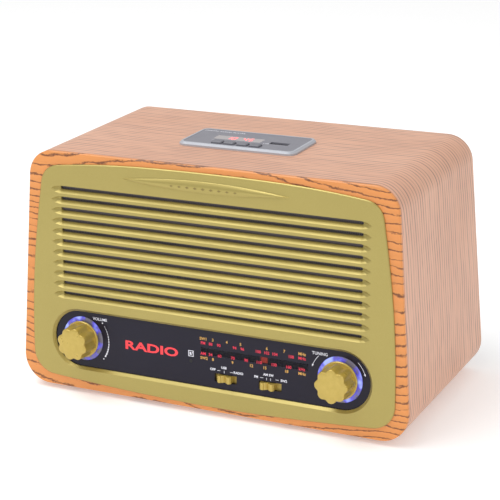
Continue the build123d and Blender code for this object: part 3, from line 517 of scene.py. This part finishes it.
SWITCH_WORDS = (
    ("OFF", 3.9, 26.6), ("USB", 11.3, 28.5), ("RADIO", 20.9, 26.6),
    ("FM", 32.6, 26.4), ("AM SW", 40.6, 28.6), ("SW2", 50.6, 26.4))
DASH = rectangle(1.0, 0.13)
DASH_RISE = 26.4
DASH_X = (7.9, 16.4, 36.2, 46.2)
TICK = rectangle(0.14, 0.8)
TICK_RISE = 26.0
TICK_X = (11.5, 39.4, 42.0)
SWEEP_REACH = 18.3  # distance of the volume knob's arc from its axis
SWEEP_FROM, SWEEP_TO = 34.0, -33.0  # degrees
SWEEP_SPOTS = (40.0, -38.0)
SWEEP_STEPS = 13
SWEEP_HALF_LENGTH = 0.66  # of each step, so that the steps overlap
SWEEP_THIN, SWEEP_GROWTH = 0.08, 0.42  # half of the arc's width at its start, and what it gains
SPOT = disc(0.45, 8)
ARROWS = ((137.0, 158.0, 18.4), (47.0, 20.0, 16.3))  # tail and tip in degrees, then reach
ARROW_STEPS = 7
ARROW_OVERLAP = 0.05
ARROW_HALF_WIDTH = 0.14
HEAD_HALF_WIDTH, HEAD_LENGTH = 0.6, 1.5
WINDOW_MARK_AT = -10.8, 34.4
REMOTE_EYE_AT = -10.9, 29.6
REMOTE_EYE = disc(1.1, 16)


def switch_marks():
    """Words, dashes and ticks over the two slide switches."""
    meshes = [lettering(text, SWITCH_CAPITAL, on_lens(x, rise), 0.06) for text, x, rise in SWITCH_WORDS]
    meshes += [slab(DASH, on_lens(x, DASH_RISE)) for x in DASH_X]
    meshes += [slab(TICK, on_lens(x, TICK_RISE)) for x in TICK_X]
    return meshes


def volume_sweep():
    """Arc round the volume knob that widens towards its end, with a spot beyond each end."""
    meshes = []
    for step in range(SWEEP_STEPS):
        angle = radians(SWEEP_FROM + (SWEEP_TO - SWEEP_FROM) * (step + 0.5) / SWEEP_STEPS)
        shape = rectangle(SWEEP_THIN + SWEEP_GROWTH * step / SWEEP_STEPS, SWEEP_HALF_LENGTH)
        meshes.append(slab(shape, beside_knob(-1, angle, SWEEP_REACH) @ turn(angle)))
    meshes += [slab(SPOT, beside_knob(-1, radians(angle), SWEEP_REACH)) for angle in SWEEP_SPOTS]
    return meshes


def tuning_arrows():
    """Two curved arrows round the tuning knob."""
    meshes = []
    for tail, tip, reach in ARROWS:
        half_length = reach * radians(abs(tip - tail)) / ARROW_STEPS / 2 + ARROW_OVERLAP
        shape = rectangle(ARROW_HALF_WIDTH, half_length)
        for step in range(ARROW_STEPS):
            angle = radians(tail + (tip - tail) * (step + 0.5) / ARROW_STEPS)
            meshes.append(slab(shape, beside_knob(1, angle, reach) @ turn(angle)))
        way = 1 if tip > tail else -1
        head = [(-HEAD_HALF_WIDTH * way, 0.0), (HEAD_HALF_WIDTH * way, 0.0), (0.0, HEAD_LENGTH * way)]
        meshes.append(slab(head, beside_knob(1, radians(tip), reach) @ turn(radians(tip))))
    return meshes


def window_mark():
    """Square outline with an upright bar and a slanting one inside it."""
    boxes = (
        (-1.8, -1.9, -1.4, 1.9), (1.4, -1.9, 1.8, 1.9), (-1.4, 1.5, 1.4, 1.9), (-1.4, -1.9, 1.4, -1.5),
        (-0.9, -0.9, 0.0, 0.9))
    shapes = [((x0, y0), (x1, y0), (x1, y1), (x0, y1)) for x0, y0, x1, y1 in boxes]
    shapes.append(((0.2, -1.0), (0.6, -1.0), (1.2, 1.1), (0.8, 1.1)))
    return [slab(shape, on_lens(*WINDOW_MARK_AT)) for shape in shapes]


def dial_printing():
    """Printing on the dial lens, one piece for each ink."""
    scale_inks = {
        "orange": ink("ink_orange", linear(214, 164, 84), 0.30),
        "red": ink("ink_red", linear(222, 48, 74), 0.35)}
    for name, scale_ink in scale_inks.items():
        meshes = [
            lettering(text, SCALE_CAPITAL, on_lens(x, rise), 0.04)
            for rise, row in SCALE_ROWS[name] for text, x in row]
        add_joined(f"dial_print_{name}", meshes, scale_ink)

    title = lettering("RADIO", TITLE_CAPITAL, on_lens(*TITLE_AT), 0.22, TITLE_STRETCH)
    add_joined("dial_name", [title], ink("lead_red", linear(238, 62, 70), 0.35))

    meshes = [lettering(text, KNOB_CAPITAL, on_lens(x, rise), 0.03) for text, x, rise in KNOB_WORDS]
    meshes += switch_marks() + volume_sweep() + tuning_arrows() + window_mark()
    add_joined("dial_print_white", meshes, ink("ink_white", linear(222, 222, 232), 0.25))

    eye = slab(REMOTE_EYE, on_lens(*REMOTE_EYE_AT))
    add_joined("remote_eye", [eye], ink("ink_black", linear(14, 12, 18)))


# ---- top panel ----
SEGMENTS = {"0": "abcdef", "1": "bc", "4": "bcfg", "5": "acdfg"}
DIGITS = (("1", -6.9), ("0", -3.0), ("4", 4.3), ("5", 8.2))  # x from the display's middle
DIGIT_WIDTH, DIGIT_HEIGHT = 2.3, 5.6
SEGMENT_HALF_WIDTH, SEGMENT_GAP = 0.42, 0.25
DIGIT_LIFT, DIGIT_DEPTH = 0.04, 0.03
MARK_Y = 5.1  # from the middle of a key back to the middle of its mark
TRIANGLE = ((-1.0, -0.95), (1.0, 0.0), (-1.0, 0.95))
TRIANGLE_BACK = ((1.0, -0.95), (1.0, 0.95), (-1.0, 0.0))
BAR = rectangle(0.22, 0.95)
KEY_MARKS = {  # shapes, and their x from the middle of the key
    "key_1": ((BAR, -1.2), (TRIANGLE_BACK, 0.2)),
    "key_2": ((TRIANGLE, -0.4), (BAR, 1.3)),
    "key_3": ((TRIANGLE, -0.2), (BAR, 1.2)),
    "key_4": ((BAR, -0.7), (BAR, 0.7)),
}


def digit(symbol, x):
    """Meshes of a seven-segment figure on the display."""
    half_x, half_y, thick = DIGIT_WIDTH / 2, DIGIT_HEIGHT / 2, SEGMENT_HALF_WIDTH
    places = {  # x and y of each segment's middle, and whether it stands upright
        "a": (0, half_y, False), "b": (half_x, half_y / 2, True), "c": (half_x, -half_y / 2, True),
        "d": (0, -half_y, False), "e": (-half_x, -half_y / 2, True), "f": (-half_x, half_y / 2, True),
        "g": (0, 0, False)}
    meshes = []
    for letter in SEGMENTS[symbol]:
        dx, dy, upright = places[letter]
        half = ((half_y if upright else DIGIT_WIDTH) - SEGMENT_GAP) / 2
        shape = [
            (-half, 0), (-half + thick, -thick), (half - thick, -thick), (half, 0), (half - thick, thick),
            (-half + thick, thick)]
        place = over_panel("display_window", x + dx, dy, DIGIT_LIFT) @ turn(radians(90 if upright else 0))
        meshes.append(slab(shape, place, DIGIT_DEPTH))
    return meshes


def top_printing():
    """Lit figures on the display, and the words and key marks on the label."""
    figures = [mesh for symbol, x in DIGITS for mesh in digit(symbol, x)]
    add_joined("display_digits", figures, ink("display_red", linear(255, 132, 132), 0.8))

    meshes = [
        lettering("DIGITAL AUDIO PLAYER", 1.7, over_panel("top_panel_label", -21.7, 13.1), 0.05, 1.05),
        lettering("USB", 1.5, over_panel("usb_socket", -7.8, -2.4), 0.04),
        slab(rectangle(1.6, 0.12), over_panel("key_1", -5.6, MARK_Y))]
    for key, marks in KEY_MARKS.items():
        meshes += [slab(shape, over_panel(key, x, MARK_Y)) for shape, x in marks]
    # the label print is not lit from behind: its faint glow is painted light
    add_joined("panel_print", meshes, ink("panel_white", linear(216, 216, 222), 0.1))


# ---- badge ----
BADGE_HALF_LENGTH, BADGE_HALF_HEIGHT = 53.0, 3.3
BADGE_EDGE = 1.9  # how far the edge stands out from the front board
BADGE_CROWN = 1.1  # how far the middle stands out from the edge
BADGE_STEPS = 48  # along its whole length
BADGE_STRIPS = 10  # across its height


def badge_crown(gold):
    """Crowned spindle over the badge, without the last step at each sharp end."""
    corners = []
    for strip in range(BADGE_STRIPS + 1):
        across = -1 + 2 * strip / BADGE_STRIPS
        for step in range(1, BADGE_STEPS):
            along = -1 + 2 * step / BADGE_STEPS
            half_height = BADGE_HALF_HEIGHT * (1 - along**2) ** 0.9
            out = BADGE_EDGE + BADGE_CROWN * (1 - across**2) * (1 - along**4)
            corners.append((along * BADGE_HALF_LENGTH * MM, across * half_height * MM, out * MM))
    mesh = bpy.data.meshes.new("badge_crown")
    mesh.from_pydata(corners, [], grid_faces(BADGE_STRIPS + 1, BADGE_STEPS - 1))
    mesh.shade_smooth()
    mesh.transform(face_matrix(0.0, BADGE_RISE))
    add_piece("badge_crown", mesh, gold, "cabinet")


def badge_marks():
    """Row of plain pressed diamonds along the badge, smaller towards its ends, drawn in darker gold that is
    painted shade of the pressing.
    """
    pitch, rise, out, depth = 5.2, BADGE_RISE - 0.6, 2.98, 0.06
    marks = []
    for step in range(-4, 5):
        size = 0.8 - 0.05 * abs(step)
        shape = [(-1.8 * size, 0), (0, -size), (1.8 * size, 0), (0, size)]
        marks.append(slab(shape, face_matrix(pitch * step, rise, out), depth))
    # darker gold ink: painted shade of the pressed diamonds
    add_joined("badge_marks", marks, ink("badge_shade", linear(140, 122, 62)))


# ---- knobs ----
KNOB_LOBES = 8
KNOB_FACE = 13.0
FLANGE_RADIUS, FLANGE_EDGE = 11.6, 0.35
FLANGE_BACK, FLANGE_FRONT = 0.4, 1.6
FLUTE_DEPTH = 1.35
KNOB_RINGS = (  # distance out, radius over the lobes, and the share of the flutes' depth
    (FLANGE_BACK, FLANGE_RADIUS, 0.0), (FLANGE_FRONT - FLANGE_EDGE, FLANGE_RADIUS, 0.0),
    (FLANGE_FRONT, FLANGE_RADIUS - FLANGE_EDGE, 0.0), (FLANGE_FRONT, 10.95, 1.0), (2.2, 10.85, 1.0),
    (KNOB_FACE - 1.0, 10.35, 1.0), (KNOB_FACE - 0.5, 10.25, 0.98), (KNOB_FACE - 0.15, 10.0, 0.95),
    (KNOB_FACE, 9.6, 0.92), (KNOB_FACE, 4.5, 0.0))
KNOB_STEPS = 192  # points round each ring


def knob_cap(name, side, turned, body, node, gold):
    """Fluted knob with rounded lobes and a thin flange, turned by some degrees."""
    corners = []
    for out, crest, share in KNOB_RINGS:
        for step in range(KNOB_STEPS):
            angle = 2 * pi * step / KNOB_STEPS
            wave = 0.5 - 0.5 * cos(KNOB_LOBES * (angle - radians(turned)))
            reach = crest - share * FLUTE_DEPTH * wave ** 1.5
            corners.append((reach * cos(angle) * MM, reach * sin(angle) * MM, out * MM))
    faces = grid_faces(len(KNOB_RINGS), KNOB_STEPS, closed=True)
    faces.append(tuple(reversed(range(KNOB_STEPS))))
    faces.append(tuple(range(len(corners) - KNOB_STEPS, len(corners))))
    mesh = bpy.data.meshes.new(name)
    mesh.from_pydata(corners, [], faces)
    for polygon in mesh.polygons:
        polygon.use_smooth = len(polygon.vertices) == 4
    mesh.set_sharp_from_angle(angle=radians(40))
    mesh.transform(face_matrix(side * knob_reach, KNOB_RISE))
    cap = add_piece(name, mesh, gold, body)
    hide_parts(node)


# ---- studio ----
CAMERA_AT = Vector((0.43381, -0.88041, 0.40754))
CAMERA_YAW, CAMERA_PITCH, CAMERA_ROLL = radians(26.228), radians(18.183), radians(-1.358)
CAMERA_LENS, CAMERA_SENSOR = 120.0, 36.0
LIT_MIDDLE = Vector((0.0, 0.0, 0.08))  # the point that every lamp faces
FLOOR_REACH = 6.0
WHITE = (1.0, 1.0, 1.0, 1.0)


def camera():
    """Camera to the front right of the object and a little above it."""
    data = bpy.data.cameras.new("camera")
    data.lens, data.sensor_width = CAMERA_LENS, CAMERA_SENSOR
    data.clip_start, data.clip_end = 0.05, 50.0
    back = Vector((
        sin(CAMERA_YAW) * cos(CAMERA_PITCH), -cos(CAMERA_YAW) * cos(CAMERA_PITCH), sin(CAMERA_PITCH)))
    level_right = Vector((cos(CAMERA_YAW), sin(CAMERA_YAW), 0.0))
    level = Matrix((level_right, back.cross(level_right), back)).transposed().to_4x4()
    eye = add_object("camera", data)
    eye.matrix_world = Matrix.Translation(CAMERA_AT) @ level @ turn(CAMERA_ROLL)
    bpy.context.scene.camera = eye


def area_light(name, place, size, power):
    """Rectangular lamp, of a width and height in metres, that faces the object."""
    data = bpy.data.lights.new(name, "AREA")
    data.shape, data.size, data.size_y = "RECTANGLE", size[0], size[1]
    data.energy = power
    direction = LIT_MIDDLE - Vector(place)
    lamp = add_object(name, data)
    lamp.matrix_world = Matrix.Translation(place) @ direction.to_track_quat("-Z", "Y").to_matrix().to_4x4()


def floor():
    """Pale floor that runs out past the view."""
    corners = [(x, y, 0.0) for x, y in rectangle(FLOOR_REACH, FLOOR_REACH)]
    mesh = bpy.data.meshes.new("floor")
    mesh.from_pydata(corners, [], [(0, 1, 2, 3)])
    pale = Material("pale_floor", linear(250, 250, 250), 0.9)
    pale.vary_roughness(3.0, 0.85, 0.95)
    pale.glow(WHITE, 0.22)
    mesh.materials.append(pale.data)
    add_object("floor", mesh)


def studio():
    """White surroundings, three soft lamps and the floor."""
    scene = bpy.context.scene
    scene.view_settings.view_transform = "Standard"
    scene.world = bpy.data.worlds.new("studio")
    scene.world.use_nodes = True
    background = scene.world.node_tree.nodes["Background"]
    background.inputs["Color"].default_value = WHITE
    background.inputs["Strength"].default_value = 0.66
    area_light("key", place=(-0.7, -1.2, 1.4), size=(1.0, 1.0), power=1.5)
    area_light("fill", place=(1.05, -1.40, 0.8), size=(0.8, 0.8), power=3.5)
    area_light("top", place=(-0.45, -0.38, 1.5), size=(1.3, 0.8), power=11.5)
    floor()


camera()
studio()
materials = make_materials()
dress(materials)
dial_printing()
top_printing()
badge_crown(materials["gold_paint"])
badge_marks()
knob_cap("volume_knob_cap", -1, -16.0, "volume_control", "volume_knob", materials["knob_gold"])
knob_cap("tuning_knob_cap", 1, 1.0, "tuning_control", "tuning_knob", materials["knob_gold"])
